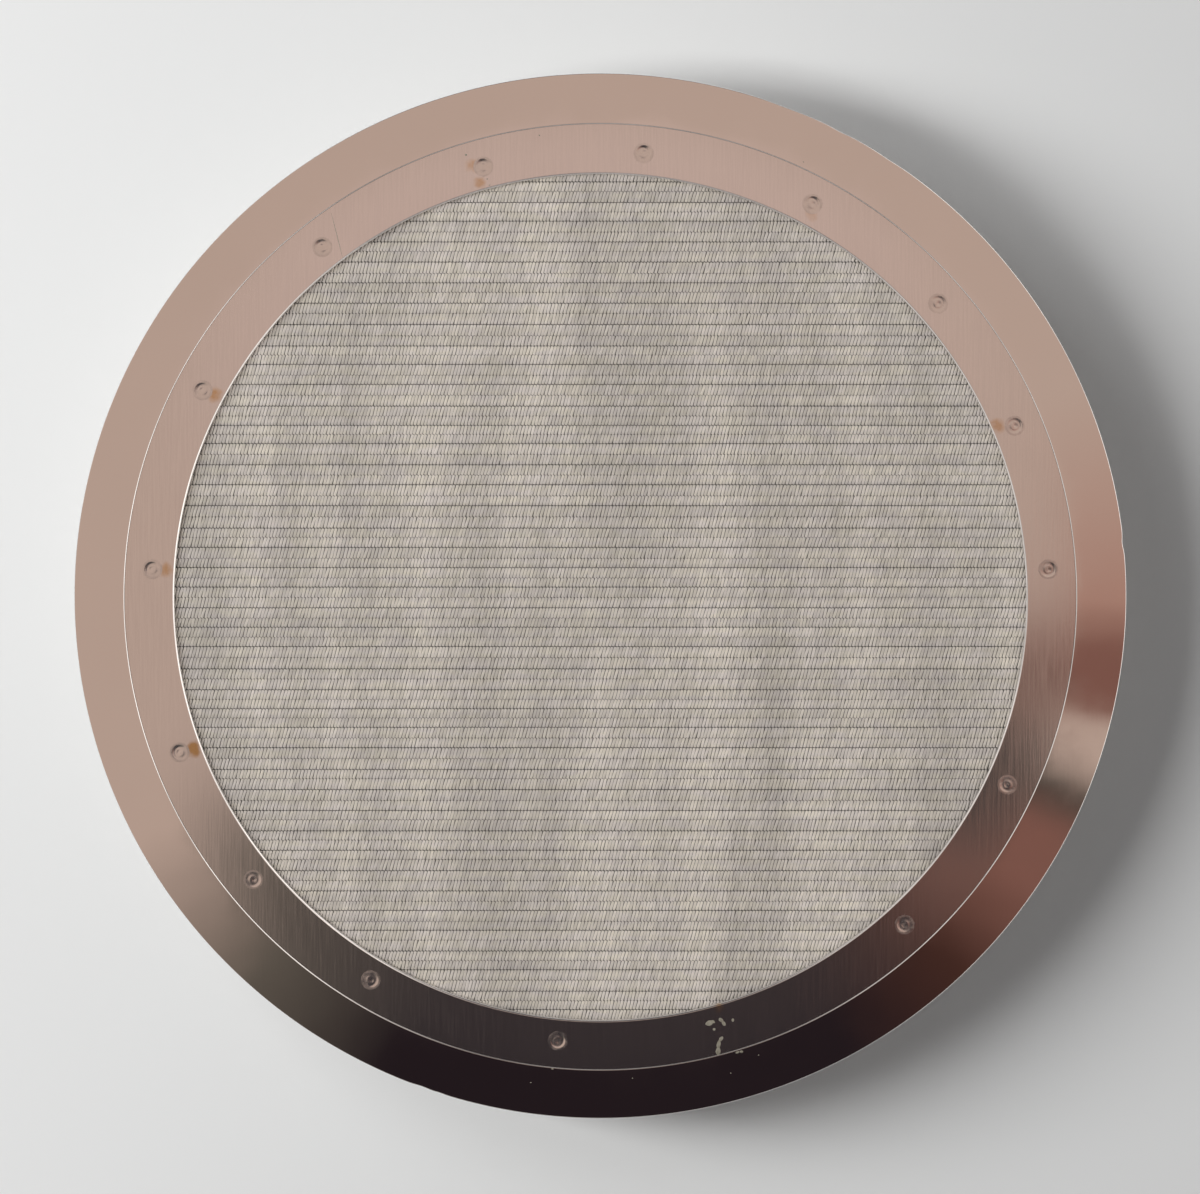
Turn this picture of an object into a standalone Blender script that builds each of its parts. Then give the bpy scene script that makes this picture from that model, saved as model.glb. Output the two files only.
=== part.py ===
"""A press-in strainer screen: woven wire membrane in a polished steel frame, on a short skirt.

The screen lies with its woven face up (+Z) and its open back on the ground plane. The origin
is the centre of the back opening. A pressed frame carries a stack of a perforated diffuser,
a woven membrane and a flat retaining ring, and spot welds pin the stack to the frame's ledge.
"""

import math

import bmesh
import bpy
from mathutils import Matrix, Vector

MM = 0.001

# Overall size
HEIGHT = 9.0 * MM
FRAME_RADIUS = 30.0 * MM
WINDOW_RADIUS = 24.35 * MM

# Face frame: a flat rim, a recess one stack deep, and a ledge that the stack sits on
SHEET = 0.8 * MM
RECESS_RADIUS = 27.15 * MM
LEDGE_RADIUS = 24.8 * MM
EDGE_ROUND = 0.15 * MM
PRESS_ROUND = 0.3 * MM

# Stack inside the recess, from the top down
RING_DROP = 0.12 * MM
RING_THICKNESS = 0.30 * MM
RING_RADIUS = 27.05 * MM
MEMBRANE_THICKNESS = 0.36 * MM
MEMBRANE_RADIUS = 26.90 * MM
DIFFUSER_THICKNESS = 0.60 * MM
DIFFUSER_RADIUS = 27.0 * MM
CONTACT_GAP = 0.02 * MM

# Diffuser perforations, on a triangular grid
PERFORATION_RADIUS = 0.8 * MM
PERFORATION_PITCH = 4.8 * MM
PERFORATED_RADIUS = 23.4 * MM

# Spot welds, placed by hand and so not quite evenly spaced
WELD_ANGLES_DEG = (
    4, 23, 41.5, 62, 84.5, 105, 128, 152,
    176, 200, 219, 239, 264.5, 285.5, 313, 335.5,
)
WELD_CIRCLE_RADIUS = 25.6 * MM
WELD_RADIUS = 0.57 * MM
WELD_HOLE_RADIUS = 0.60 * MM
WELD_DIMPLE_DEPTH = 0.08 * MM
WELD_LIP = 0.12 * MM

# Skirt: a thin tube with a rolled retention bead near its open end
SKIRT_RADIUS = 28.6 * MM
SKIRT_WALL = 0.6 * MM
BEAD_DEPTH = 0.45 * MM
BEAD_HEIGHT = 2.6 * MM
BEAD_CENTRE_Z = 2.3 * MM
BEAD_STEPS = 6

# Facets
ROUND_STEPS = 80
FILLET_STEPS = 2
HOLE_SIDES = 8
WELD_SIDES = 12
MERGE = 0.00001 * MM
SHARP_ANGLE = math.radians(35)

RING_TOP = HEIGHT - RING_DROP
RING_BOTTOM = RING_TOP - RING_THICKNESS
MEMBRANE_TOP = RING_BOTTOM - CONTACT_GAP
MEMBRANE_BOTTOM = MEMBRANE_TOP - MEMBRANE_THICKNESS
DIFFUSER_TOP = MEMBRANE_BOTTOM - CONTACT_GAP
DIFFUSER_BOTTOM = DIFFUSER_TOP - DIFFUSER_THICKNESS
LEDGE_TOP = DIFFUSER_BOTTOM - CONTACT_GAP
LEDGE_BOTTOM = LEDGE_TOP - SHEET
RIM_BOTTOM = HEIGHT - SHEET


def clear_scene():
    """Remove every object, so that the file can be run again."""
    for item in list(bpy.data.objects):
        bpy.data.objects.remove(item, do_unlink=True)


def new_collection(name):
    collection = bpy.data.collections.get(name)
    if collection is None:
        collection = bpy.data.collections.new(name)
        bpy.context.scene.collection.children.link(collection)
    return collection


def steel(name, colour, roughness):
    """A Principled metal of one colour and roughness."""
    material = bpy.data.materials.new(name)
    material.use_nodes = True
    shader = material.node_tree.nodes["Principled BSDF"]
    shader.inputs["Base Color"].default_value = (*colour, 1.0)
    shader.inputs["Metallic"].default_value = 1.0
    shader.inputs["Roughness"].default_value = roughness
    material.diffuse_color = (*colour, 1.0)
    return material


def new_object(name, mesh, collection, material=None, parent=None):
    item = bpy.data.objects.new(name, mesh)
    collection.objects.link(item)
    if material is not None and not mesh.materials:
        mesh.materials.append(material)
    item.parent = parent
    return item


def rounded_outline(corners):
    """Points of a closed outline whose (radius, height, round) corners become arcs."""
    points = []
    for index, (x, z, fillet) in enumerate(corners):
        corner = Vector((x, z))
        if fillet == 0:
            points.append(corner)
            continue
        before = Vector(corners[index - 1][:2]) - corner
        after = Vector(corners[(index + 1) % len(corners)][:2]) - corner
        half = before.angle(after) / 2
        centre = corner + (before.normalized() + after.normalized()).normalized() * (
            fillet / math.sin(half)
        )
        start = corner + before.normalized() * (fillet / math.tan(half)) - centre
        turn = start.angle_signed(
            corner + after.normalized() * (fillet / math.tan(half)) - centre
        )
        for step in range(FILLET_STEPS + 1):
            angle = -turn * step / FILLET_STEPS
            points.append(centre + Matrix.Rotation(angle, 2) @ start)
    return points


def turned(name, outline, collection, material, parent):
    """A closed outline in the XZ plane, swept once around Z by a Screw modifier."""
    mesh = bpy.data.meshes.new(name)
    vertices = [(point.x, 0, point.y) for point in outline]
    count = len(vertices)
    edges = [(index, (index + 1) % count) for index in range(count)]
    mesh.from_pydata(vertices, edges, [])
    item = new_object(name, mesh, collection, material, parent)
    screw = item.modifiers.new("turn", "SCREW")
    screw.steps = ROUND_STEPS
    screw.render_steps = ROUND_STEPS
    screw.use_merge_vertices = True
    screw.merge_threshold = MERGE
    screw.use_smooth_shade = True
    return item


def cylinders(name, places, radius, sides, bottom, top):
    """One mesh of upright closed cylinders at the given (x, y, turn) places."""
    bm = bmesh.new()
    middle = (bottom + top) / 2
    for x, y, turn in places:
        bmesh.ops.create_cone(
            bm,
            cap_ends=True,
            segments=sides,
            radius1=radius,
            radius2=radius,
            depth=top - bottom,
            matrix=Matrix.Translation((x, y, middle)) @ Matrix.Rotation(turn, 4, "Z"),
        )
    mesh = bpy.data.meshes.new(name)
    bm.to_mesh(mesh)
    bm.free()
    return mesh


def make_cutter(name, mesh, collection):
    cutter = new_object(name, mesh, collection)
    cutter.hide_render = True
    cutter.display_type = "WIRE"
    return cutter


def cut(item, cutter):
    boolean = item.modifiers.new("cut " + cutter.name, "BOOLEAN")
    boolean.operation = "DIFFERENCE"
    boolean.solver = "EXACT"
    boolean.object = cutter


def weld_places():
    """(x, y, turn) of each spot weld on its circle."""
    places = []
    for degrees in WELD_ANGLES_DEG:
        angle = math.radians(degrees)
        x = WELD_CIRCLE_RADIUS * math.cos(angle)
        y = WELD_CIRCLE_RADIUS * math.sin(angle)
        places.append((x, y, angle))
    return places


def perforation_places():
    """(x, y, turn) of each perforation: a triangular grid inside a circle."""
    places = []
    row_pitch = PERFORATION_PITCH * math.sin(math.radians(60))
    rows = int(PERFORATED_RADIUS / row_pitch) + 1
    columns = int(PERFORATED_RADIUS / PERFORATION_PITCH) + 1
    for row in range(-rows, rows + 1):
        shift = PERFORATION_PITCH / 2 if row % 2 else 0.0
        for column in range(-columns - 1, columns + 1):
            x = column * PERFORATION_PITCH + shift
            y = row * row_pitch
            if math.hypot(x, y) <= PERFORATED_RADIUS - PERFORATION_RADIUS:
                places.append((x, y, 0.0))
    return places


def build_face_frame(collection, material, parent):
    """Blanked and pressed frame: sharp sheared edges, a flat rim, a recess and a ledge."""
    recess_outer = RECESS_RADIUS + SHEET
    outline = rounded_outline([
        (RECESS_RADIUS, HEIGHT, EDGE_ROUND),
        (FRAME_RADIUS, HEIGHT, EDGE_ROUND),
        (FRAME_RADIUS, RIM_BOTTOM, EDGE_ROUND),
        (recess_outer, RIM_BOTTOM, 0),
        (recess_outer, LEDGE_BOTTOM, PRESS_ROUND),
        (LEDGE_RADIUS, LEDGE_BOTTOM, 0),
        (LEDGE_RADIUS, LEDGE_TOP, 0),
        (RECESS_RADIUS, LEDGE_TOP, 0),
    ])
    return turned("face_frame", outline, collection, material, parent)


def bead_side(radius, heights):
    """One side of the skirt wall, bulging outwards by a cosine bump at the bead."""
    points = []
    for z in heights:
        phase = 2 * math.pi * (z - BEAD_CENTRE_Z) / BEAD_HEIGHT
        points.append(Vector((radius + BEAD_DEPTH * (1 + math.cos(phase)) / 2, z)))
    return points


def build_skirt(collection, material, parent):
    """Rolled tube that holds the frame up, beaded so that it snaps into a seal."""
    top = RIM_BOTTOM - CONTACT_GAP
    inner = SKIRT_RADIUS - SKIRT_WALL
    low = BEAD_CENTRE_Z - BEAD_HEIGHT / 2
    heights = [low + BEAD_HEIGHT * step / BEAD_STEPS for step in range(BEAD_STEPS + 1)]
    wall = SKIRT_WALL / 4
    outline = [Vector((inner, top)), Vector((SKIRT_RADIUS, top))]
    outline += bead_side(SKIRT_RADIUS, reversed(heights))
    outline += [Vector((SKIRT_RADIUS, wall)), Vector((SKIRT_RADIUS - wall, 0))]
    outline += [Vector((inner + wall, 0)), Vector((inner, wall))]
    outline += bead_side(inner, heights)
    return turned("skirt", outline, collection, material, parent)


def build_retaining_ring(collection, material, parent, weld_cutter):
    """Flat ring, punched out of sheet, that clamps the membrane's edge."""
    outline = rounded_outline([
        (WINDOW_RADIUS, RING_TOP, EDGE_ROUND / 2),
        (RING_RADIUS, RING_TOP, EDGE_ROUND / 2),
        (RING_RADIUS, RING_BOTTOM, 0),
        (WINDOW_RADIUS, RING_BOTTOM, 0),
    ])
    ring = turned("retaining_ring", outline, collection, material, parent)
    cut(ring, weld_cutter)
    return ring


def build_disc(name, radius, bottom, top, collection, material, parent):
    """A round sheet with a flat top and bottom."""
    mesh = cylinders(name, [(0, 0, 0)], radius, ROUND_STEPS, bottom, top)
    return new_object(name, mesh, collection, material, parent)


def build_weld_mesh():
    """A spot weld's fused metal: a short pin with a dished top that ends below the ring."""
    bottom = LEDGE_TOP + CONTACT_GAP
    depth = RING_TOP - CONTACT_GAP - bottom
    bm = bmesh.new()
    bmesh.ops.create_cone(
        bm,
        cap_ends=True,
        segments=WELD_SIDES,
        radius1=WELD_RADIUS,
        radius2=WELD_RADIUS,
        depth=depth,
        matrix=Matrix.Translation((0, 0, bottom + depth / 2)),
    )
    top = max(bm.faces, key=lambda face: face.calc_center_median().z)
    bmesh.ops.inset_region(bm, faces=[top], thickness=WELD_LIP)
    bmesh.ops.inset_region(bm, faces=[top], thickness=WELD_LIP, depth=-WELD_DIMPLE_DEPTH)
    mesh = bpy.data.meshes.new("spot_weld")
    bm.to_mesh(mesh)
    bm.free()
    return mesh


def build_spot_welds(collection, material, parent):
    """One weld object for each place, all sharing one mesh."""
    mesh = build_weld_mesh()
    for number, (x, y, turn) in enumerate(weld_places(), start=1):
        weld = new_object(f"spot_weld_{number:02d}", mesh, collection, material, parent)
        weld.location = (x, y, 0)
        weld.rotation_euler = (0, 0, turn)


def shade_round(item):
    """Smooth shading across curves, with flat faces kept flat."""
    if item.data.polygons:
        item.data.shade_smooth()
        item.data.set_sharp_from_angle(angle=SHARP_ANGLE)
    shading = item.modifiers.new("even shading", "WEIGHTED_NORMAL")
    shading.keep_sharp = True


def build():
    clear_scene()
    parts = new_collection("Strainer screen")
    cutters = new_collection("Cutters")

    polished = steel("polished_steel", (0.60, 0.55, 0.52), 0.06)
    brushed = steel("brushed_steel", (0.62, 0.57, 0.54), 0.18)
    satin = steel("satin_steel", (0.55, 0.53, 0.51), 0.30)
    woven = steel("woven_wire", (0.50, 0.47, 0.43), 0.35)
    fused = steel("fused_steel", (0.48, 0.42, 0.38), 0.25)

    origin = bpy.data.objects.new("screen_origin", None)
    parts.objects.link(origin)

    weld_cutter = make_cutter(
        "weld_holes",
        cylinders("weld_holes", weld_places(), WELD_HOLE_RADIUS, WELD_SIDES, LEDGE_TOP, HEIGHT),
        cutters,
    )
    hole_cutter = make_cutter(
        "perforations",
        cylinders(
            "perforations",
            perforation_places(),
            PERFORATION_RADIUS,
            HOLE_SIDES,
            LEDGE_BOTTOM,
            MEMBRANE_TOP,
        ),
        cutters,
    )

    build_face_frame(parts, polished, origin)
    build_skirt(parts, satin, origin)
    build_retaining_ring(parts, brushed, origin, weld_cutter)

    membrane = build_disc(
        "woven_membrane", MEMBRANE_RADIUS, MEMBRANE_BOTTOM, MEMBRANE_TOP, parts, woven, origin
    )
    cut(membrane, weld_cutter)

    diffuser = build_disc(
        "diffuser_plate", DIFFUSER_RADIUS, DIFFUSER_BOTTOM, DIFFUSER_TOP, parts, satin, origin
    )
    cut(diffuser, weld_cutter)
    cut(diffuser, hole_cutter)

    build_spot_welds(parts, fused, origin)
    for item in parts.objects:
        if item.type == "MESH":
            shade_round(item)


build()
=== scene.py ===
"""Looks of the woven strainer screen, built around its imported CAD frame.

Units are metres, in the CAD's own frame: +Z is the polished face, and +Y is the top of the picture.
Sizes given in MM are worked out from the CAD boxes or named below.
"""
import math
import random

import bmesh
import bpy
from mathutils import Matrix, Vector


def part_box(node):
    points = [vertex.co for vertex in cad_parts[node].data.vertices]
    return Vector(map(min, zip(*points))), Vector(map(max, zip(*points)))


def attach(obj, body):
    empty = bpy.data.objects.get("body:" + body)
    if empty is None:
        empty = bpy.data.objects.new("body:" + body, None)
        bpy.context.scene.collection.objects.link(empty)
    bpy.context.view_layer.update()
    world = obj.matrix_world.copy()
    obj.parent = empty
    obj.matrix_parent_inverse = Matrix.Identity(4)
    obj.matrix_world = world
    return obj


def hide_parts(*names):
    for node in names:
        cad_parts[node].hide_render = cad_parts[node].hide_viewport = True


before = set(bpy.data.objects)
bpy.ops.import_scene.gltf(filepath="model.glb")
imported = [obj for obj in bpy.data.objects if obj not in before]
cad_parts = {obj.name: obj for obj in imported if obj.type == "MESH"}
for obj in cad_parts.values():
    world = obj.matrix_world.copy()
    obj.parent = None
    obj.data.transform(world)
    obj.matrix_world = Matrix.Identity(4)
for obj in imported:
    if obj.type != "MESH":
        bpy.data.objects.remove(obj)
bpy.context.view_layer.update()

MM = 0.001
BODY = "root"

# ---------------------------------------------------------------- places read from the CAD frame
FRAME_LOW, FRAME_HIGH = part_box("face_frame")
RING_LOW, RING_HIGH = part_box("retaining_ring")
CLOTH_LOW, CLOTH_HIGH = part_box("woven_membrane")
PLATE_LOW, PLATE_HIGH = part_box("diffuser_plate")
SKIRT_LOW, SKIRT_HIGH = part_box("skirt")
WELD_NAMES = sorted(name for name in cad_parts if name.startswith("spot_weld"))

# Sizes that the boxes don't give, as in the CAD
SHEET = 0.8 * MM
RECESS_RADIUS = 27.15 * MM
LEDGE_RADIUS = 24.8 * MM
SKIRT_RADIUS = 28.6 * MM
SKIRT_WALL = 0.6 * MM
RIM_RADIUS = FRAME_HIGH.x

# The ring is closer to the recess's wall than in the CAD, and the window's radius 0.06 mm smaller
RING_GAP = 0.012 * MM
RING_RADIUS = RECESS_RADIUS - RING_GAP
WINDOW_RADIUS = 24.29 * MM

# Fine shape
ROUND_STEPS = 288
RIM_STEPS = 720
FILLET_STEPS = 5
RIM_EDGE = 0.035 * MM
STEP_EDGE = 0.052 * MM
WINDOW_EDGE = 0.12 * MM
PRESS_EDGE = 0.35 * MM
PLATE_EDGE = 0.05 * MM

# Angles between faces that stay sharp in smooth shading
SHARP_SHEET = math.radians(35)
SHARP_WELD = math.radians(40)
SHARP_WEAVE_BACK = math.radians(50)
SHARP_WIRE = math.radians(60)

# Faces this level are shaded truly flat
LEVEL = 0.99999

# Guessed back: bead round the skirt, and the plate's holes, of which the middle one is smaller
BEAD_HEIGHT = 2.3 * MM
BEAD_WIDTH = 2.6 * MM
BEAD_DEPTH = 0.45 * MM
SKIRT_STEPS = 48
PLATE_PITCH = 4.8 * MM
PLATE_HOLE = 0.8 * MM
PLATE_FIELD = 23.4 * MM
PLATE_MIDDLE = 0.4 * MM
WELD_HOLE_SIDES = 48
PLATE_HOLE_SIDES = 32


def weld_place(name):
    """Centre of a weld on the ring's top, from its CAD box."""
    low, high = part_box(name)
    return Vector(((low.x + high.x) / 2, (low.y + high.y) / 2, RING_HIGH.z))


WELDS = [weld_place(name) for name in WELD_NAMES]


# ---------------------------------------------------------------- node helpers
class Graph:
    """Adds and links shader nodes with few words."""

    def __init__(self, tree):
        self.tree = tree

    def add(self, kind, inputs=None, **settings):
        node = self.tree.nodes.new(kind)
        for key, value in settings.items():
            setattr(node, key, value)
        for key, value in (inputs or {}).items():
            if isinstance(value, bpy.types.NodeSocket):
                self.tree.links.new(value, node.inputs[key])
            else:
                node.inputs[key].default_value = value
        return node

    def maths(self, operation, a, b=0.0, c=0.0, clamp=False):
        node = self.add("ShaderNodeMath", {0: a, 1: b, 2: c}, operation=operation, use_clamp=clamp)
        return node.outputs[0]

    def vector(self, operation, a, b=(0.0, 0.0, 0.0)):
        node = self.add("ShaderNodeVectorMath", {0: a, 1: b}, operation=operation)
        return node.outputs["Value" if operation in ("LENGTH", "DISTANCE", "DOT_PRODUCT") else "Vector"]

    def combine(self, x, y, z=0.0):
        return self.add("ShaderNodeCombineXYZ", {0: x, 1: y, 2: z}).outputs[0]

    def grey(self, value):
        """One number as a colour or a vector of equal parts."""
        return self.combine(value, value, value)

    def position(self):
        """The point in millimetres, in the CAD's frame."""
        place = self.add("ShaderNodeTexCoord").outputs["Object"]
        node = self.add("ShaderNodeVectorMath", {0: place, "Scale": 1.0 / MM}, operation="SCALE")
        return node.outputs["Vector"]

    def noise(self, place, scale, detail=2.0, roughness=0.5, stretch=(1.0, 1.0, 1.0)):
        place = self.vector("MULTIPLY", place, stretch)
        inputs = {"Vector": place, "Scale": scale, "Detail": detail, "Roughness": roughness}
        return self.add("ShaderNodeTexNoise", inputs).outputs["Fac"]

    def noise_colour(self, place, scale):
        """A noise vector round zero, to distort a place with."""
        node = self.add("ShaderNodeTexNoise", {"Vector": place, "Scale": scale, "Detail": 2.0})
        return self.vector("SUBTRACT", node.outputs["Color"], (0.5, 0.5, 0.5))

    def spread(self, value, low, high, to_low=0.0, to_high=1.0):
        """Maps low..high to to_low..to_high with soft ends."""
        inputs = {"Value": value, "From Min": low, "From Max": high, "To Min": to_low, "To Max": to_high}
        return self.add("ShaderNodeMapRange", inputs, interpolation_type="SMOOTHSTEP").outputs["Result"]

    def mix(self, factor, a, b, blend="MIX"):
        inputs = {0: factor, 6: a, 7: b}
        return self.add("ShaderNodeMix", inputs, data_type="RGBA", blend_type=blend).outputs[2]

    def ramp(self, value, stops):
        """stops are (place 0..1, linear colour)."""
        node = self.add("ShaderNodeValToRGB", {"Fac": value})
        elements = node.color_ramp.elements
        while len(elements) < len(stops):
            elements.new(1.0)
        for element, (place, colour) in zip(elements, stops):
            element.position = place
            element.color = (*colour, 1.0)
        return node.outputs["Color"]

    def bump(self, height, distance, normal=None):
        inputs = {"Height": height, "Distance": distance, "Strength": 1.0}
        if normal is not None:
            inputs["Normal"] = normal
        return self.add("ShaderNodeBump", inputs).outputs["Normal"]

    def near(self, place, centre, radius, soft):
        """1 within radius of centre, fading to 0 over soft. Everything in millimetres."""
        distance = self.vector("DISTANCE", place, centre)
        return self.spread(distance, radius, radius + soft, 1.0, 0.0)


def linear(red, green, blue):
    """Scene-linear colour of an sRGB triple from 0 to 255."""
    def one(value):
        value /= 255
        return value / 12.92 if value <= 0.04045 else ((value + 0.055) / 1.055) ** 2.4
    return (one(red), one(green), one(blue))


def rgba(colour):
    return (*colour, 1.0)


def new_material(name, metallic=1.0):
    """A Principled material and its graph."""
    material = bpy.data.materials.new(name)
    material.use_nodes = True
    shader = material.node_tree.nodes["Principled BSDF"]
    shader.inputs["Metallic"].default_value = metallic
    return material, Graph(material.node_tree), shader


def connect(graph, shader, **sockets):
    """Links node outputs to the shader's inputs by short names."""
    names = {
        "colour": "Base Color", "roughness": "Roughness", "normal": "Normal", "emission": "Emission Strength",
    }
    for key, socket in sockets.items():
        graph.tree.links.new(socket, shader.inputs[names[key]])


# ---------------------------------------------------------------- materials
def polished_steel():
    """Mirror-polished rim: very faint cloudiness, hairlines and smudges."""
    material, graph, shader = new_material("polished_steel")
    place = graph.position()
    cloud = graph.noise(place, 0.12, 3.0)
    colour = graph.mix(cloud, rgba((0.91, 0.90, 0.89)), rgba((0.96, 0.95, 0.94)))
    hair = graph.noise(place, 1.0, 2.0, 0.6, (7.0, 0.35, 1.0))
    smudge = graph.noise(place, 0.35, 4.0, 0.6)
    rough = graph.spread(smudge, 0.35, 0.75, 0.016, 0.034)
    normal = graph.bump(hair, 0.00004 * MM)
    normal = graph.bump(graph.noise(place, 0.30, 1.0), 0.0012 * MM, normal)
    connect(graph, shader, colour=colour, roughness=rough, normal=normal)
    return material


# Stains on the ring: weld number, offset from its centre in mm, radius in mm and strength
STAINS = (
    (2, (-0.94, 0.02), 0.10, 0.60), (4, (-0.05, -0.57), 0.06, 0.25), (6, (-0.61, 0.06), 0.08, 0.60),
    (6, (-0.20, -0.90), 0.06, 0.70), (8, (0.65, -0.25), 0.12, 0.80), (9, (0.78, -0.06), 0.10, 0.70),
    (10, (0.80, 0.10), 0.12, 0.85), (10, (0.84, 0.28), 0.06, 0.60), (14, (0.0, 1.10), 0.03, 0.60),
)
STAIN_FADE = 0.42


def stains(graph, place):
    """How strongly rust stains the ring at a point, from 0 to 1."""
    rough_edge = graph.noise(place, 3.0, 4.0, 0.65)
    shift = graph.vector("MULTIPLY", graph.noise_colour(place, 1.6), (0.5, 0.5, 0.0))
    shifted = graph.vector("ADD", place, shift)
    total = 0.0
    for number, (dx, dy), radius, strength in STAINS:
        weld = WELDS[number - 1] / MM
        spot = graph.near(shifted, (weld.x + dx, weld.y + dy, weld.z), radius, STAIN_FADE)
        total = graph.maths("ADD", total, graph.maths("MULTIPLY", spot, strength))
    return graph.maths("MULTIPLY", total, graph.spread(rough_edge, 0.2, 0.75, 0.55, 1.15), clamp=True)


def brushed_steel():
    """Linished ring: fine straight grain, and rust stains beside some welds."""
    material, graph, shader = new_material("brushed_steel", 0.985)
    place = graph.position()
    grain = graph.noise(place, 1.0, 3.0, 0.65, (9.0, 0.30, 1.0))
    cloud = graph.noise(place, 0.3, 3.0)
    colour = graph.mix(cloud, rgba((0.92, 0.905, 0.895)), rgba((0.98, 0.965, 0.955)))
    colour = graph.mix(graph.spread(grain, 0.35, 0.70, 0.10, 0.0), colour, rgba((0.30, 0.29, 0.30)))
    stain = stains(graph, place)
    colour = graph.mix(stain, colour, rgba((0.93, 0.62, 0.30)))
    rough = graph.spread(grain, 0.3, 0.8, 0.045, 0.075)
    rough = graph.maths("ADD", rough, graph.maths("MULTIPLY", stain, 0.10))
    normal = graph.bump(grain, 0.00022 * MM)
    connect(graph, shader, colour=colour, roughness=rough, normal=normal)
    return material


def fused_steel():
    """Weld marks: slightly duller and warmer than the ring."""
    material, graph, shader = new_material("fused_steel", 0.97)
    place = graph.position()
    cloud = graph.noise(place, 2.5, 3.0)
    colour = graph.mix(cloud, rgba((0.90, 0.88, 0.86)), rgba((0.98, 0.96, 0.94)))
    rough = graph.spread(cloud, 0.3, 0.7, 0.09, 0.17)
    connect(graph, shader, colour=colour, roughness=rough, normal=graph.bump(cloud, 0.0012 * MM))
    return material


def residue():
    """Dull grey-yellow drops beside the welds."""
    material, graph, shader = new_material("residue", 0.35)
    place = graph.position()
    cloud = graph.noise(place, 5.0, 3.0)
    colour = graph.mix(cloud, rgba((0.17, 0.155, 0.115)), rgba((0.44, 0.42, 0.35)))
    rough = graph.spread(cloud, 0.3, 0.7, 0.30, 0.50)
    connect(graph, shader, colour=colour, roughness=rough, normal=graph.bump(cloud, 0.002 * MM))
    return material


def satin_steel():
    """Rolled and turned skirt: fine lines round the wall."""
    material, graph, shader = new_material("satin_steel", 0.98)
    place = graph.position()
    lines = graph.noise(place, 1.0, 3.0, 0.6, (0.25, 0.25, 22.0))
    cloud = graph.noise(place, 0.25, 3.0)
    colour = graph.mix(cloud, rgba((0.66, 0.645, 0.63)), rgba((0.76, 0.75, 0.735)))
    rough = graph.spread(lines, 0.3, 0.75, 0.22, 0.36)
    connect(graph, shader, colour=colour, roughness=rough, normal=graph.bump(lines, 0.0015 * MM))
    return material


def plate_steel():
    """Perforated plate behind the cloth: mill finish."""
    material, graph, shader = new_material("plate_steel", 0.98)
    place = graph.position()
    grain = graph.noise(place, 1.0, 3.0, 0.6, (0.4, 8.0, 1.0))
    colour = graph.mix(grain, rgba((0.60, 0.59, 0.57)), rgba((0.74, 0.73, 0.71)))
    rough = graph.spread(grain, 0.3, 0.75, 0.26, 0.40)
    connect(graph, shader, colour=colour, roughness=rough, normal=graph.bump(grain, 0.001 * MM))
    return material


# Brightness of the wires on the face and of those under them. The darker value is painted shade: it stands
# for the shade that falls on the wires below and between the humps
FACE_WIRE = 0.96
DEEP_WIRE = 0.30


def woven_wire(name, brightness):
    """Drawn wire of the cloth: warm and cool mottling in soft bands, one tone for each knuckle. A copy at low
    brightness is painted shade for the wires under the face.
    """
    material, graph, shader = new_material(name, 0.60)
    place = graph.position()
    island = graph.add("ShaderNodeNewGeometry").outputs["Random Per Island"]
    warm = graph.noise(place, 0.9, 3.0, 0.7, (0.5, 1.6, 0.0))
    tone = graph.mix(graph.spread(warm, 0.35, 0.65), rgba((0.79, 0.75, 0.675)), rgba((0.77, 0.73, 0.70)))
    bands = graph.noise(place, 0.24, 2.0, 0.5, (1.0, 0.10, 0.0))
    island_shade = graph.spread(island, 0.0, 1.0, 0.92 * brightness, 1.10 * brightness)
    rows = graph.noise(place, 1.0, 2.0, 0.6, (0.02, 1.1, 0.0))
    island_shade = graph.maths("MULTIPLY", island_shade, graph.spread(rows, 0.3, 0.7, 0.93, 1.06))
    shade = graph.maths("MULTIPLY", island_shade, graph.spread(bands, 0.3, 0.7, 0.88, 1.09))
    rough = graph.spread(island, 0.0, 1.0, 0.56, 0.64)
    connect(graph, shader, colour=graph.vector("MULTIPLY", tone, graph.grey(shade)), roughness=rough)
    return material


# The floor turns into the backdrop between these distances in mm, far outside the picture
FLOOR_FADE = (60.0, 170.0)
BACKDROP = (0.72, 0.73, 0.73)


def pale_floor():
    """Plain pale table."""
    material, graph, shader = new_material("pale_floor", 0.0)
    place = graph.position()
    cloud = graph.noise(place, 0.02, 2.0)
    colour = graph.mix(cloud, rgba((0.79, 0.80, 0.80)), rgba((0.82, 0.83, 0.83)))
    shader.inputs["Roughness"].default_value = 0.9
    shader.inputs["Specular IOR Level"].default_value = 0.1
    shader.inputs["Emission Color"].default_value = rgba(BACKDROP)
    far = graph.spread(graph.vector("LENGTH", place), *FLOOR_FADE)
    near = graph.maths("SUBTRACT", 1.0, far)
    connect(graph, shader, colour=graph.vector("MULTIPLY", colour, graph.grey(near)), emission=far)
    return material


# ---------------------------------------------------------------- mesh helpers
def new_piece(name, mesh, material, nodes=()):
    """A shown piece that rides on the body and stands for the named CAD nodes."""
    item = bpy.data.objects.new(name, mesh)
    bpy.context.scene.collection.objects.link(item)
    mesh.materials.clear()
    mesh.materials.append(material)
    if nodes:
        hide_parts(*nodes)
    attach(item, BODY)
    return item


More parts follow.
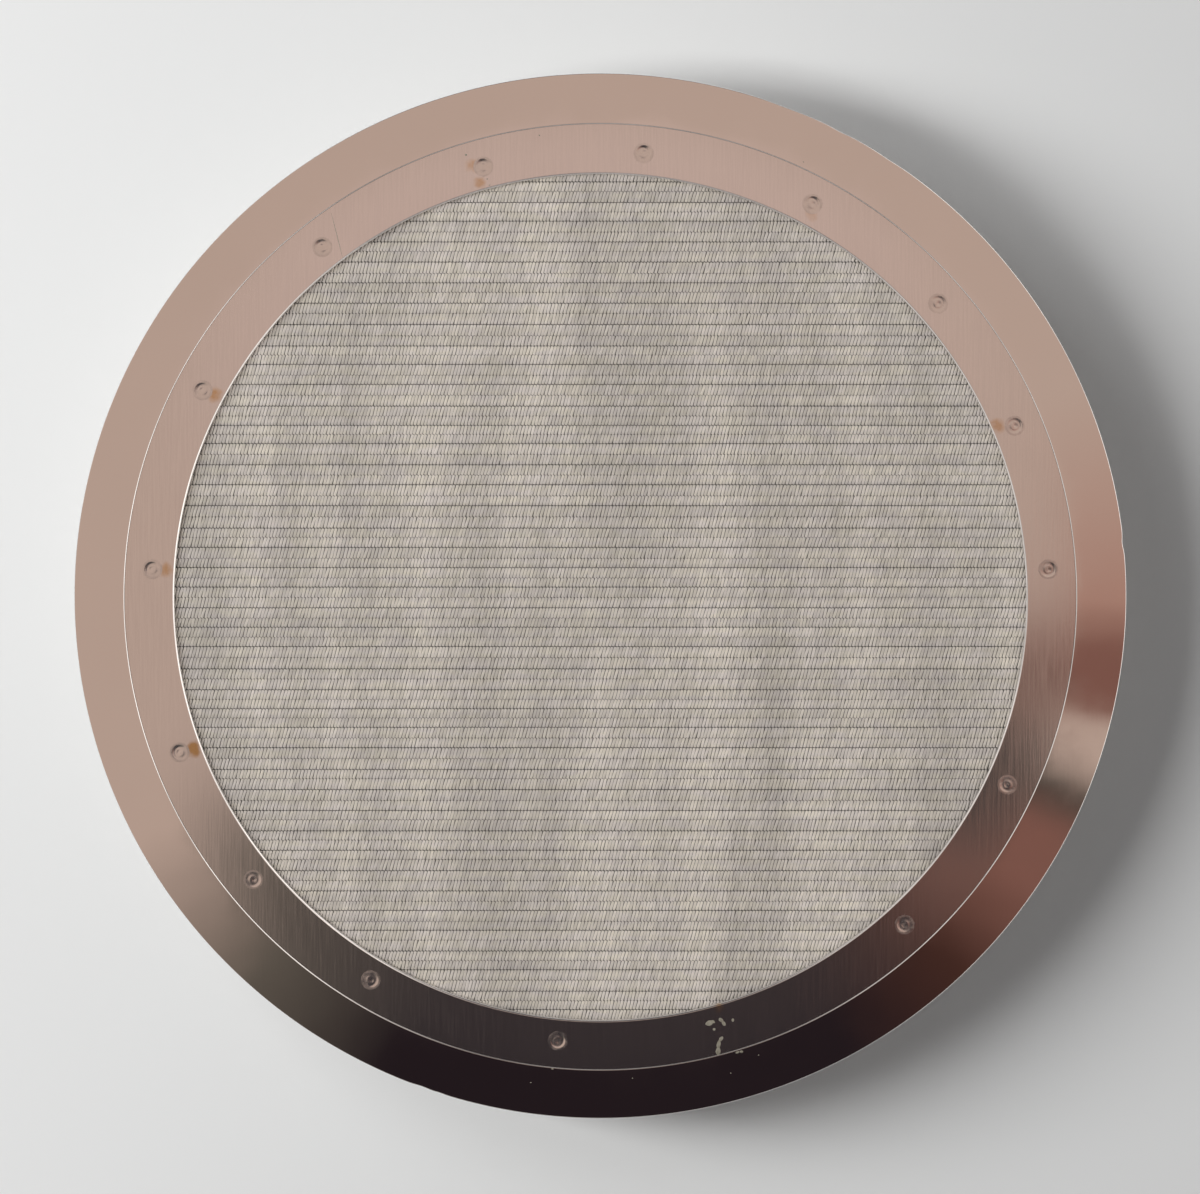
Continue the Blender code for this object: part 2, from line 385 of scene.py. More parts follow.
def rounded_outline(corners, steps=FILLET_STEPS):
    """Closed outline whose (radius, height, round) corners become arcs."""
    points = []
    for index, (x, z, fillet) in enumerate(corners):
        corner = Vector((x, z))
        if fillet == 0:
            points.append(corner)
            continue
        before = (Vector(corners[index - 1][:2]) - corner).normalized()
        after = (Vector(corners[(index + 1) % len(corners)][:2]) - corner).normalized()
        half = before.angle(after) / 2
        centre = corner + (before + after).normalized() * (fillet / math.sin(half))
        start = corner + before * (fillet / math.tan(half)) - centre
        turn = start.angle_signed(corner + after * (fillet / math.tan(half)) - centre)
        for step in range(steps + 1):
            points.append(centre + Matrix.Rotation(-turn * step / steps, 2) @ start)
    return points


def shade(mesh):
    """Smooth shading, with sharp corners kept and level faces truly flat, as a mirror needs."""
    mesh.shade_smooth()
    mesh.set_sharp_from_angle(angle=SHARP_SHEET)
    for face in mesh.polygons:
        face.use_smooth = abs(face.normal.z) < LEVEL


def turned_mesh(name, outline, steps=ROUND_STEPS, dent=None):
    """A closed outline, given clockwise in (radius, height), swept round Z.

    dent(angle, radius) says how far it is cut in at a point.
    """
    bm = bmesh.new()
    rings = []
    for step in range(steps):
        angle = 2 * math.pi * step / steps
        ring = []
        for point in outline:
            radius = point.x - (dent(angle, point.x) if dent else 0.0)
            ring.append(bm.verts.new((radius * math.cos(angle), radius * math.sin(angle), point.y)))
        rings.append(ring)
    count = len(outline)
    for step, ring in enumerate(rings):
        following = rings[(step + 1) % steps]
        for index in range(count):
            after = (index + 1) % count
            bm.faces.new((ring[index], ring[after], following[after], following[index]))
    bmesh.ops.recalc_face_normals(bm, faces=bm.faces)
    mesh = bpy.data.meshes.new(name)
    bm.to_mesh(mesh)
    bm.free()
    shade(mesh)
    return mesh


def cut_round_holes(mesh, centres, radius, bottom, top, sides):
    """The mesh with upright round holes through it."""
    bm = bmesh.new()
    for centre in centres:
        bmesh.ops.create_cone(
            bm, cap_ends=True, segments=sides, radius1=radius, radius2=radius, depth=top - bottom,
            matrix=Matrix.Translation((centre.x, centre.y, (bottom + top) / 2)),
        )
    cutter_mesh = bpy.data.meshes.new("cutter")
    bm.to_mesh(cutter_mesh)
    bm.free()
    cutter = bpy.data.objects.new("cutter", cutter_mesh)
    blank = bpy.data.objects.new("blank", mesh)
    for item in (cutter, blank):
        bpy.context.scene.collection.objects.link(item)
    boolean = blank.modifiers.new("holes", "BOOLEAN")
    boolean.operation = "DIFFERENCE"
    boolean.solver = "EXACT"
    boolean.object = cutter
    bpy.context.view_layer.update()
    graph = bpy.context.evaluated_depsgraph_get()
    result = bpy.data.meshes.new_from_object(blank.evaluated_get(graph))
    for item in (cutter, blank):
        bpy.data.objects.remove(item, do_unlink=True)
    shade(result)
    return result


# ---------------------------------------------------------------- sheet-metal pieces
# Small dents in the rim's outer edge: bearing in degrees, depth in mm and half width in degrees
NICKS = (
    (6.3, 0.07, 0.7), (57.0, 0.03, 1.4), (63.0, 0.045, 1.0), (69.5, 0.03, 2.0),
    (250.0, 0.05, 1.0), (252.0, 0.03, 0.7),
)


def rim_dent(angle, radius):
    """How far the nicks cut into the rim at a bearing."""
    if radius < RIM_RADIUS - 2 * RIM_EDGE:
        return 0.0
    depth = 0.0
    for bearing, deep, half in NICKS:
        away = abs(math.degrees(angle) - bearing) / half
        depth += deep * math.exp(-away * away)
    return depth * MM


def build_rim(material):
    """Pressed frame: flat polished rim with sheared edges, recess and ledge."""
    underside = FRAME_HIGH.z - SHEET
    ledge = FRAME_LOW.z
    outer = RECESS_RADIUS + SHEET
    outline = rounded_outline([
        (RECESS_RADIUS, FRAME_HIGH.z, STEP_EDGE),
        (RIM_RADIUS, FRAME_HIGH.z, RIM_EDGE),
        (RIM_RADIUS, underside, RIM_EDGE),
        (outer, underside, PRESS_EDGE / 2),
        (outer, ledge, PRESS_EDGE),
        (LEDGE_RADIUS, ledge, RIM_EDGE),
        (LEDGE_RADIUS, ledge + SHEET, RIM_EDGE),
        (RECESS_RADIUS, ledge + SHEET, PRESS_EDGE / 4),
    ])
    mesh = turned_mesh("rim", outline, RIM_STEPS, rim_dent)
    new_piece("rim", mesh, material, ["face_frame"])


def build_ring(material):
    """Flat ring with a round hole for each weld."""
    outline = rounded_outline([
        (WINDOW_RADIUS, RING_HIGH.z, WINDOW_EDGE),
        (RING_RADIUS, RING_HIGH.z, 0),
        (RING_RADIUS, RING_LOW.z, 0),
        (WINDOW_RADIUS, RING_LOW.z, WINDOW_EDGE / 2),
    ])
    mesh = turned_mesh("ring", outline)
    mesh = cut_round_holes(mesh, WELDS, WELD_HOLE, RING_LOW.z - MM, RING_HIGH.z + MM, WELD_HOLE_SIDES)
    new_piece("ring", mesh, material, ["retaining_ring"])


def bulge(z):
    """How far the skirt's bead stands out at height z."""
    reach = abs(z - BEAD_HEIGHT)
    if reach >= BEAD_WIDTH / 2:
        return 0.0
    return BEAD_DEPTH * (1 + math.cos(2 * math.pi * reach / BEAD_WIDTH)) / 2


def build_skirt(material):
    """Beaded wall behind the rim."""
    top, bottom = SKIRT_HIGH.z, SKIRT_LOW.z
    inner = SKIRT_RADIUS - SKIRT_WALL
    lip = SKIRT_WALL / 3
    wall = top - bottom - 2 * lip
    heights = [bottom + lip + wall * step / SKIRT_STEPS for step in range(SKIRT_STEPS + 1)]
    outline = [Vector((inner + lip, top)), Vector((SKIRT_RADIUS - lip, top))]
    outline += [Vector((SKIRT_RADIUS + bulge(z), z)) for z in reversed(heights)]
    outline += [Vector((SKIRT_RADIUS - lip, bottom)), Vector((inner + lip, bottom))]
    outline += [Vector((inner + bulge(z), z)) for z in heights]
    new_piece("skirt_wall", turned_mesh("skirt_wall", outline), material, ["skirt"])


def build_plate(material):
    """Perforated plate behind the cloth."""
    outline = rounded_outline([
        (PLATE_MIDDLE, PLATE_HIGH.z, 0),
        (PLATE_HIGH.x, PLATE_HIGH.z, PLATE_EDGE),
        (PLATE_HIGH.x, PLATE_LOW.z, PLATE_EDGE),
        (PLATE_MIDDLE, PLATE_LOW.z, 0),
    ])
    centres = []
    row_pitch = PLATE_PITCH * math.sin(math.radians(60))
    rows = int(PLATE_FIELD / row_pitch) + 1
    for row in range(-rows, rows + 1):
        for column in range(-rows - 1, rows + 2):
            x = (column + (0.5 if row % 2 else 0.0)) * PLATE_PITCH
            y = row * row_pitch
            if 0 < math.hypot(x, y) <= PLATE_FIELD - PLATE_HOLE:
                centres.append(Vector((x, y, 0)))
    mesh = turned_mesh("plate", outline)
    mesh = cut_round_holes(mesh, centres, PLATE_HOLE, PLATE_LOW.z - MM, PLATE_HIGH.z + MM, PLATE_HOLE_SIDES)
    new_piece("plate", mesh, material, ["diffuser_plate"])


# ---------------------------------------------------------------- spot welds
WELD_HOLE = 0.565 * MM
WELD_RIM = 0.563 * MM
WELD_STEPS = 48
FLAT_WELD = "spot_weld_14"
FLAT_SHARE = 0.12
# Places on a weld as shares of its radius
DISH_EDGE = 0.82
DISH_WALL = 0.26
INNER_CIRCLE = 0.34
INNER_WIDTH = 0.10
WELD_CIRCLES = (
    0.12, 0.22, 0.30, 0.36, 0.42, 0.48, 0.56, 0.64, 0.70, 0.75, 0.80, 0.85, 0.90, 0.95, 0.985, 1.0,
)
# Least and greatest of a weld, in millimetres, and its tilt's play in degrees
DISH_DEPTHS = (0.0036, 0.0060)
INNER_HEIGHTS = (0.001, 0.0022)
TILT_JITTER = 12
# The side, in degrees, on which the electrode pressed each weld deepest, and how much deeper
WELD_TILTS = (-30, 0, 10, 30, 60, 80, 95, 120, 140, 150, -10, -35, -40, 0, 205, 180)
TILT_SHARE = 0.8


def weld_height(radius, angle, seed):
    """Height over the ring's top of a point on a weld: a shallow dish with a raised inner circle."""
    share = radius / WELD_RIM
    wall = 0.5 - 0.5 * math.cos(math.pi * min(1.0, max(0.0, (DISH_EDGE - share) / DISH_WALL)))
    inner = math.exp(-((share - INNER_CIRCLE) / INNER_WIDTH) ** 2)
    skew = 1.0 + TILT_SHARE * math.cos(angle - seed.skew)
    return (-seed.depth * wall * skew + seed.inner * inner) * MM


class WeldSeed:
    """How one weld differs from the next."""

    def __init__(self, draw, share, tilt):
        self.depth = draw.uniform(*DISH_DEPTHS) * share
        self.inner = draw.uniform(*INNER_HEIGHTS) * share
        self.skew = math.radians(tilt + draw.uniform(-TILT_JITTER, TILT_JITTER))


def build_welds(material, plain):
    """One dish for each weld. The flat one has the plain ring's material."""
    draw = random.Random(16)
    for name, centre, tilt in zip(WELD_NAMES, WELDS, WELD_TILTS):
        seed = WeldSeed(draw, FLAT_SHARE if name == FLAT_WELD else 1.0, tilt)
        low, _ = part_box(name)
        bm = bmesh.new()
        middle = bm.verts.new((0, 0, weld_height(0, 0, seed)))
        rings = []
        for share in WELD_CIRCLES:
            radius = WELD_RIM * share
            ring = []
            for step in range(WELD_STEPS):
                angle = 2 * math.pi * step / WELD_STEPS
                z = weld_height(radius, angle, seed)
                ring.append(bm.verts.new((radius * math.cos(angle), radius * math.sin(angle), z)))
            rings.append(ring)
        foot = low.z - RING_HIGH.z
        rings.append([bm.verts.new((v.co.x, v.co.y, foot)) for v in rings[-1]])
        for step in range(WELD_STEPS):
            bm.faces.new((middle, rings[0][step], rings[0][(step + 1) % WELD_STEPS]))
        for inside, outside in zip(rings, rings[1:]):
            for step in range(WELD_STEPS):
                after = (step + 1) % WELD_STEPS
                bm.faces.new((inside[step], outside[step], outside[after], inside[after]))
        bm.faces.new(rings[-1])
        bmesh.ops.recalc_face_normals(bm, faces=bm.faces)
        bmesh.ops.translate(bm, verts=bm.verts, vec=centre)
        mesh = bpy.data.meshes.new(name + "_dish")
        bm.to_mesh(mesh)
        bm.free()
        mesh.shade_smooth()
        mesh.set_sharp_from_angle(angle=SHARP_WELD)
        metal = plain if name == FLAT_WELD else material
        new_piece(name + "_dish", mesh, metal, [name])


# Spatter and dried residue, in mm from a weld's centre or, where the weld is 0, from the middle:
# weld number, place, length, width and bearing in degrees
SPATTER = (
    (14, (-0.64, 0.48), 0.46, 0.30, 15), (14, (-0.44, 0.56), 0.26, 0.18, -35),
    (14, (0.02, 0.66), 0.30, 0.20, -40), (14, (0.18, 0.46), 0.34, 0.20, -60),
    (14, (-0.37, 0.12), 0.17, 0.15, 0), (14, (0.04, -0.43), 0.30, 0.20, 50),
    (14, (-0.10, -0.75), 0.50, 0.24, 82), (14, (-0.14, -1.15), 0.44, 0.27, 88),
    (14, (0.71, 0.65), 0.15, 0.20, 0), (14, (0.98, -1.20), 0.26, 0.12, 20),
    (14, (1.21, -1.16), 0.20, 0.14, -10), (6, (-0.98, 0.67), 0.13, 0.11, 0),
    (6, (0.22, -0.70), 0.08, 0.07, 0), (6, (0.36, -1.05), 0.10, 0.07, 0),
    (0, (-3.45, 26.50), 0.08, 0.08, 0), (0, (1.85, -27.65), 0.07, 0.07, 0),
    (0, (-4.00, -27.90), 0.08, 0.06, 0), (0, (9.10, -26.30), 0.08, 0.06, 0),
    (0, (7.50, -27.35), 0.08, 0.07, 0), (0, (-2.75, -27.10), 0.14, 0.09, 0),
    (0, (11.50, 25.00), 0.07, 0.07, 0), (0, (-14.93, 20.84), 2.60, 0.035, -76),
)
# How far a weld's spatter lies from the CAD's weld centre
SPATTER_SHIFT = {14: Vector((0.07, -0.27, 0)) * MM}
SPATTER_HEIGHT = 0.014 * MM
SPATTER_STEPS = 14
SPATTER_PLAY = (0.86, 1.14)
# Drops that are narrower than this are lower too
SPATTER_BROAD = 0.2 * MM
# Outline of a drop, from its peak to its foot, as shares of its reach and of its height
DROP_OUTLINE = ((0.35, 0.92), (0.70, 0.66), (0.92, 0.30), (1.0, 0.0))


def dome(bm, centre, length, width, turn, draw):
    """A flattened, slightly uneven drop with a closed foot."""
    spread = [draw.uniform(*SPATTER_PLAY) for _ in range(SPATTER_STEPS)]
    spread = [(spread[i - 1] + spread[i]) / 2 for i in range(SPATTER_STEPS)]
    along = Vector((math.cos(turn), math.sin(turn), 0))
    across = Vector((-math.sin(turn), math.cos(turn), 0))
    tall = SPATTER_HEIGHT * min(1.0, width / SPATTER_BROAD)
    rings = []
    for share, rise in DROP_OUTLINE:
        ring = []
        for step in range(SPATTER_STEPS):
            angle = 2 * math.pi * step / SPATTER_STEPS
            flat = along * (math.cos(angle) * length / 2) + across * (math.sin(angle) * width / 2)
            ring.append(bm.verts.new(centre + flat * share * spread[step] + Vector((0, 0, tall * rise))))
        rings.append(ring)
    peak = bm.verts.new(centre + Vector((0, 0, tall)))
    for step in range(SPATTER_STEPS):
        after = (step + 1) % SPATTER_STEPS
        bm.faces.new((peak, rings[0][step], rings[0][after]))
        for inside, outside in zip(rings, rings[1:]):
            bm.faces.new((inside[step], outside[step], outside[after], inside[after]))
    bm.faces.new(rings[-1])


def build_spatter(material):
    """Drops of weld spatter and residue on the ring and the rim."""
    draw = random.Random(14)
    bm = bmesh.new()
    for weld, (x, y), length, width, turn in SPATTER:
        place = Vector((x * MM, y * MM, 0))
        if weld:
            place += WELDS[weld - 1] + SPATTER_SHIFT.get(weld, Vector())
        place.z = FRAME_HIGH.z if math.hypot(place.x, place.y) > RECESS_RADIUS else RING_HIGH.z
        dome(bm, place, length * MM, width * MM, math.radians(turn), draw)
    bmesh.ops.recalc_face_normals(bm, faces=bm.faces)
    mesh = bpy.data.meshes.new("spatter")
    bm.to_mesh(mesh)
    bm.free()
    mesh.shade_smooth()
    mesh.set_sharp_from_angle(angle=SHARP_WIRE)
    new_piece("spatter", mesh, material)


# ---------------------------------------------------------------- woven cloth
CLOTH_RADIUS = 24.95 * MM
CLOTH_MARGIN = 0.012 * MM
CLOTH_TOP = CLOTH_HIGH.z - CLOTH_MARGIN
# Rows of humps follow each other along +Y, and a row's humps along +X. The pitches vary by these factors
ROW_PITCH = 0.582 * MM
ROW_PLAY = (0.88, 1.12)
KNUCKLE_PITCH = 0.190 * MM
KNUCKLE_PLAY = (0.94, 1.06)
LEAN = math.radians(16)
LEAN_JITTER = 0.05
# Rows meet in a dark crease and in a soft valley by turns: how far humps dip towards them
CREASE_GAP = 0.001 * MM
CREASE_DIP = 0.011 * MM
VALLEY_DIP = 0.009 * MM
SOFT_OVERLAP = 1.04
# Sides fall by a share of the half width, and tips by shares of that, beyond a last section at BLUNT
KNUCKLE_RISE = 0.55
TIP_DROP = 0.35
SOFT_TIP_DROP = 0.12
BLUNT = 0.93
# Hump sizes as shares of the pitch, and how much they vary. Every other hump is weak: narrower and lower
HALF_WIDTH = 0.425
END_NARROWING = 0.06
WEAK_NARROWING = 0.02
WEAK_DROP = 0.006 * MM
HUMP_JITTER = 0.004 * MM
ROW_JITTER = 0.02 * MM
# Straight wires, and the corrugated sheet that closes the weave from behind
WARP_WIRE = 0.07 * MM
WARP_SIDES = 8
WARP_DEPTH = 0.20 * MM
BACK_WAVE = 0.035 * MM
BACK_LIFT = 0.04 * MM
BACK_THICKNESS = 0.05 * MM
BACK_STEPS = 6
BACK_MARGIN = 0.05 * MM


def row_edges():
    """Places along +Y of the lines between rows of humps, unevenly spaced."""
    draw = random.Random(40)
    edges = [-CLOTH_RADIUS]
    while edges[-1] < CLOTH_RADIUS - 0.5 * ROW_PITCH:
        edges.append(edges[-1] + ROW_PITCH * draw.uniform(*ROW_PLAY))
    return edges


def half_chord(y):
    """Half the length of a row at y."""
    return math.sqrt(max(CLOTH_RADIUS ** 2 - y ** 2, 0.0))


def knuckle(x, y, reach, half_width, lean, top, dips):
    """Vertices and faces of one wire hump: three three-point sections and two tips.

    reach and dips are for its lower and its upper end. A deep, sudden dip makes a dark crease.
    """
    vertices, faces = [], []
    side_drop = half_width * KNUCKLE_RISE
    for share in (-BLUNT, 0.0, BLUNT):
        end = 1 if share > 0 else 0
        along = reach[end] * share
        z = top - dips[end] * share * share
        narrow = half_width * (1 - END_NARROWING * abs(share))
        cx, cy = x + math.sin(lean) * along, y + math.cos(lean) * along
        sx, sy = math.cos(lean) * narrow, -math.sin(lean) * narrow
        vertices += [(cx - sx, cy - sy, z - side_drop), (cx, cy, z), (cx + sx, cy + sy, z - side_drop)]
    for end, sign in ((0, -1), (1, 1)):
        along = reach[end] * sign
        z = top - dips[end] - side_drop * (TIP_DROP if dips[end] == CREASE_DIP else SOFT_TIP_DROP)
        vertices.append((x + math.sin(lean) * along, y + math.cos(lean) * along, z))
    for first in (0, 3):
        for side in range(3):
            other = (side + 1) % 3
            faces.append((first + side, first + 3 + side, first + 3 + other, first + other))
    for side in range(3):
        other = (side + 1) % 3
        faces.append((9, side, other))
        faces.append((10, 6 + other, 6 + side))
    return vertices, faces


def build_cloth(material, shaded):
    """Dutch weave: rows of closely packed humps over straight wires."""
    draw = random.Random(250)
    parts = {0: ([], []), 1: ([], [])}
    edges = row_edges()
    for number, (low, high) in enumerate(zip(edges, edges[1:])):
        y = (low + high) / 2
        half = (high - low) / 2
        crease_below = number % 2 == 0
        reach = (half - CREASE_GAP / 2, half * SOFT_OVERLAP)
        dips = (CREASE_DIP, VALLEY_DIP)
        if not crease_below:
            reach, dips = reach[::-1], dips[::-1]
        row_height = CLOTH_TOP - draw.uniform(0.0, ROW_JITTER)
        vertices, faces = parts[number % 2]
        limit = half_chord(abs(y) + half)
        x = -limit + draw.uniform(0, KNUCKLE_PITCH)
        count = number
        while x < limit:
            weak = count % 2
            height = row_height - WEAK_DROP * weak - draw.uniform(0, HUMP_JITTER)
            lean = LEAN + draw.uniform(-LEAN_JITTER, LEAN_JITTER)
            half_width = KNUCKLE_PITCH * (HALF_WIDTH - WEAK_NARROWING * weak)
            more, shapes = knuckle(x, y, reach, half_width, lean, height, dips)
            base = len(vertices)
            vertices += more
            faces += [tuple(base + index for index in face) for face in shapes]
            x += KNUCKLE_PITCH * draw.uniform(*KNUCKLE_PLAY)
            count += 1
    for side, (vertices, faces) in parts.items():
        mesh = bpy.data.meshes.new(f"weft_{side + 1}")
        mesh.from_pydata(vertices, [], faces)
        mesh.shade_smooth()
        mesh.set_sharp_from_angle(angle=SHARP_WIRE)
        new_piece(f"weft_{side + 1}", mesh, material, ["woven_membrane"])
    build_warp(shaded, edges)
    build_weave_back(shaded, edges)


def build_warp(shaded, edges):
    """Straight wires that the humps run over, in the darkened wire material that paints the shade under the
    humps.
    """
    bm = bmesh.new()
    level = CLOTH_TOP - WARP_DEPTH
    for low, high in zip(edges, edges[1:]):
        y = (low + high) / 2
        bmesh.ops.create_cone(
            bm, cap_ends=True, segments=WARP_SIDES, radius1=WARP_WIRE, radius2=WARP_WIRE,
            depth=2 * half_chord(y),
            matrix=Matrix.Translation((0, y, level)) @ Matrix.Rotation(math.pi / 2, 4, "Y"),
        )
    mesh = bpy.data.meshes.new("warp")
    bm.to_mesh(mesh)
    bm.free()
    mesh.shade_smooth()
    new_piece("warp", mesh, shaded, ["woven_membrane"])


def build_weave_back(shaded, edges):
    """The corrugated underside of the weave, in the darkened wire material that paints the shade under the
    humps.
    """
    bm = bmesh.new()
    lines = []
    for low, high in zip(edges, edges[1:]):
        for step in range(BACK_STEPS):
            y = low + (high - low) * step / BACK_STEPS
            x = max(math.sqrt(max(CLOTH_HIGH.x ** 2 - y ** 2, 0.0)) - BACK_MARGIN, 2 * BACK_MARGIN)
            z = CLOTH_LOW.z + BACK_LIFT - BACK_WAVE * math.cos(2 * math.pi * step / BACK_STEPS)
            top = z + BACK_THICKNESS
            corners = ((-x, y, top), (x, y, top), (x, y, z), (-x, y, z))
            lines.append([bm.verts.new(corner) for corner in corners])
    for line, following in zip(lines, lines[1:]):
        for side in range(4):
            other = (side + 1) % 4
            bm.faces.new((line[side], line[other], following[other], following[side]))
    bm.faces.new(lines[0])
    bm.faces.new(lines[-1])
    bmesh.ops.recalc_face_normals(bm, faces=bm.faces)
    mesh = bpy.data.meshes.new("weft_back")
    bm.to_mesh(mesh)
    bm.free()
    mesh.shade_smooth()
    mesh.set_sharp_from_angle(angle=SHARP_WEAVE_BACK)
    new_piece("weft_back", mesh, shaded, ["woven_membrane"])


# ---------------------------------------------------------------- stage, light and camera
CAMERA_DISTANCE = 0.38
CAMERA_TILT = math.radians(6.6)
CAMERA_LENS = 199.9
CAMERA_CLIP = (0.01, 20.0)
AIM = Vector((-0.017 * MM, 0.209 * MM, FRAME_HIGH.z))

FLOOR_RADIUS = 3.0
FLOOR_SIDES = 96
FLOOR_GAP = 0.01 * MM
LIGHT_COLOUR = (1.0, 0.995, 0.985)
# Softboxes: bearing and elevation in degrees, distance, width and height in metres, power in watts
SOFTBOXES = (
    ("key", 169, 47, 0.33, 0.07, 0.26, 0.84),
    ("side", 136, 47, 0.34, 0.12, 0.22, 0.22),
)
FILL = (0.205, 0.200, 0.203)
FILL_SLOPE = (-0.62, 0.62, 0.0)

# Things that the polished faces mirror, as sRGB colours
CEILING = (177, 153, 140)
LIT_CEILING = (187, 162, 151)
WARM_WALL = (162, 124, 110)
RED_BROWN = (120, 82, 72)
DEEP_BROWN = (64, 40, 34)
GAP = (70, 62, 56)
SHADE = (56, 50, 47)
DARK_SIDE = (33, 25, 28)
DUSK = (88, 80, 72)

# Where each is seen, clockwise in degrees round the picture from three o'clock
RIM_MIRROR = (
    (0, WARM_WALL), (6, RED_BROWN), (12.5, RED_BROWN), (14.5, CEILING), (18.5, CEILING), (23, GAP),
    (27.5, RED_BROWN), (34, RED_BROWN), (46, DEEP_BROWN), (61, DARK_SIDE), (115, DARK_SIDE),
    (132, DUSK), (152, CEILING), (336, CEILING),
)
RING_MIRROR = (
    (0, CEILING), (8, RED_BROWN), (11, GAP), (14, WARM_WALL), (17, SHADE), (33, SHADE),
    (37, RED_BROWN), (47, DEEP_BROWN), (60, DARK_SIDE), (112, DARK_SIDE), (134, GAP), (144, DUSK),
    (157, CEILING), (190, CEILING), (230, LIT_CEILING), (300, LIT_CEILING), (345, CEILING),
)
RIM_GAIN = 1.08
RING_GAIN = 1.10
RIM_HAZE = 0.0
RING_HAZE = 0.022

# What low mirrored rays see, as linear colours: walls beyond each side of the picture
TOP_WALL = (0.16, 0.145, 0.14)
BOTTOM_WALL = (0.40, 0.36, 0.34)
LEFT_WALL = (0.95, 0.88, 0.83)
RIGHT_WALL = (1.50, 1.40, 1.32)
HORIZON = (0.66, 0.64, 0.63)
PHOTOGRAPHER = (0.03, 0.025, 0.028)

# How the mirrored surroundings fade from one to the next: tangents, nearly, of the angle between a ray
# and the one that the middle of the face mirrors
PHOTOGRAPHER_REACH = (0.035, 0.056)
WALL_REACH = (0.13, 0.60)
# Level rays count as rising this much, so that the division by their rise holds
LEAST_RISE = 0.02
# Share of the step's reach over which the ring's surroundings turn into the rim's
MIRROR_SEAM = 0.015


def circle_stops(table, gain, haze):
    """Ramp stops round the circle. gain makes up for what the metal takes away, haze veils the darks."""
    veil = linear(*CEILING)
    stops = []
    for degrees, colour in table:
        parts = zip(linear(*colour), veil)
        stops.append((degrees / 360, tuple(gain * ((1 - haze) * part + haze * over) for part, over in parts)))
    return stops + [(1.0, stops[0][1])]


def walls(graph, direction, parts):
    """Pale and dark walls round the table, with soft patches, seen by low mirrored rays."""
    sideways = graph.vector("NORMALIZE", graph.combine(parts["X"], parts["Y"]))
    bearing = graph.add("ShaderNodeSeparateXYZ", {0: sideways}).outputs
    colour = graph.mix(graph.spread(bearing["Y"], -0.4, 0.4), rgba(BOTTOM_WALL), rgba(TOP_WALL))
    colour = graph.mix(graph.spread(bearing["X"], -0.95, -0.35), rgba(LEFT_WALL), colour)
    colour = graph.mix(graph.spread(bearing["X"], 0.30, 0.90), colour, rgba(RIGHT_WALL))
    colour = graph.mix(graph.spread(parts["Z"], 0.0, 0.5), rgba(HORIZON), colour)
    patches = graph.spread(graph.noise(direction, 5.0, 1.0), 0.36, 0.64, 0.45, 1.12)
    return graph.vector("MULTIPLY", colour, graph.grey(patches))


def build_world():
    """Soft pale studio for light, and a painted ceiling that only mirrored rays see."""
    world = bpy.data.worlds.new("studio")
    bpy.context.scene.world = world
    world.use_nodes = True
    graph = Graph(world.node_tree)
    background = world.node_tree.nodes["Background"]

    direction = graph.add("ShaderNodeTexCoord").outputs["Generated"]
    parts = graph.add("ShaderNodeSeparateXYZ", {0: direction}).outputs
    height = graph.maths("MAXIMUM", parts["Z"], LEAST_RISE)
    across = graph.maths("DIVIDE", parts["X"], height)
    along = graph.maths("ADD", graph.maths("DIVIDE", parts["Y"], height), math.tan(CAMERA_TILT))
    flat = graph.combine(across, along)
    reach = graph.vector("LENGTH", flat)
    turn = graph.maths("ARCTAN2", graph.maths("MULTIPLY", along, -1.0), across)
    turn = graph.maths("FRACT", graph.maths("DIVIDE", turn, 2 * math.pi))

    rim = graph.ramp(turn, circle_stops(RIM_MIRROR, RIM_GAIN, RIM_HAZE))
    ring = graph.ramp(turn, circle_stops(RING_MIRROR, RING_GAIN, RING_HAZE))
    step = RECESS_RADIUS / CAMERA_DISTANCE
    on_rim = graph.spread(reach, step * (1 - MIRROR_SEAM), step * (1 + MIRROR_SEAM))
    mirrored = graph.mix(on_rim, ring, rim)
    hole = graph.spread(reach, *PHOTOGRAPHER_REACH, 1.0, 0.0)
    mirrored = graph.mix(hole, mirrored, rgba(PHOTOGRAPHER))
    low = walls(graph, direction, parts)
    mirrored = graph.mix(graph.spread(reach, *WALL_REACH), mirrored, low)

    rays = graph.add("ShaderNodeLightPath").outputs
    tilt = graph.maths("ADD", graph.vector("DOT_PRODUCT", direction, FILL_SLOPE), 1.0)
    fill = graph.vector("MULTIPLY", graph.grey(tilt), FILL)
    light = graph.mix(rays["Is Camera Ray"], fill, rgba(BACKDROP))
    graph.tree.links.new(graph.mix(rays["Is Glossy Ray"], light, mirrored), background.inputs["Color"])


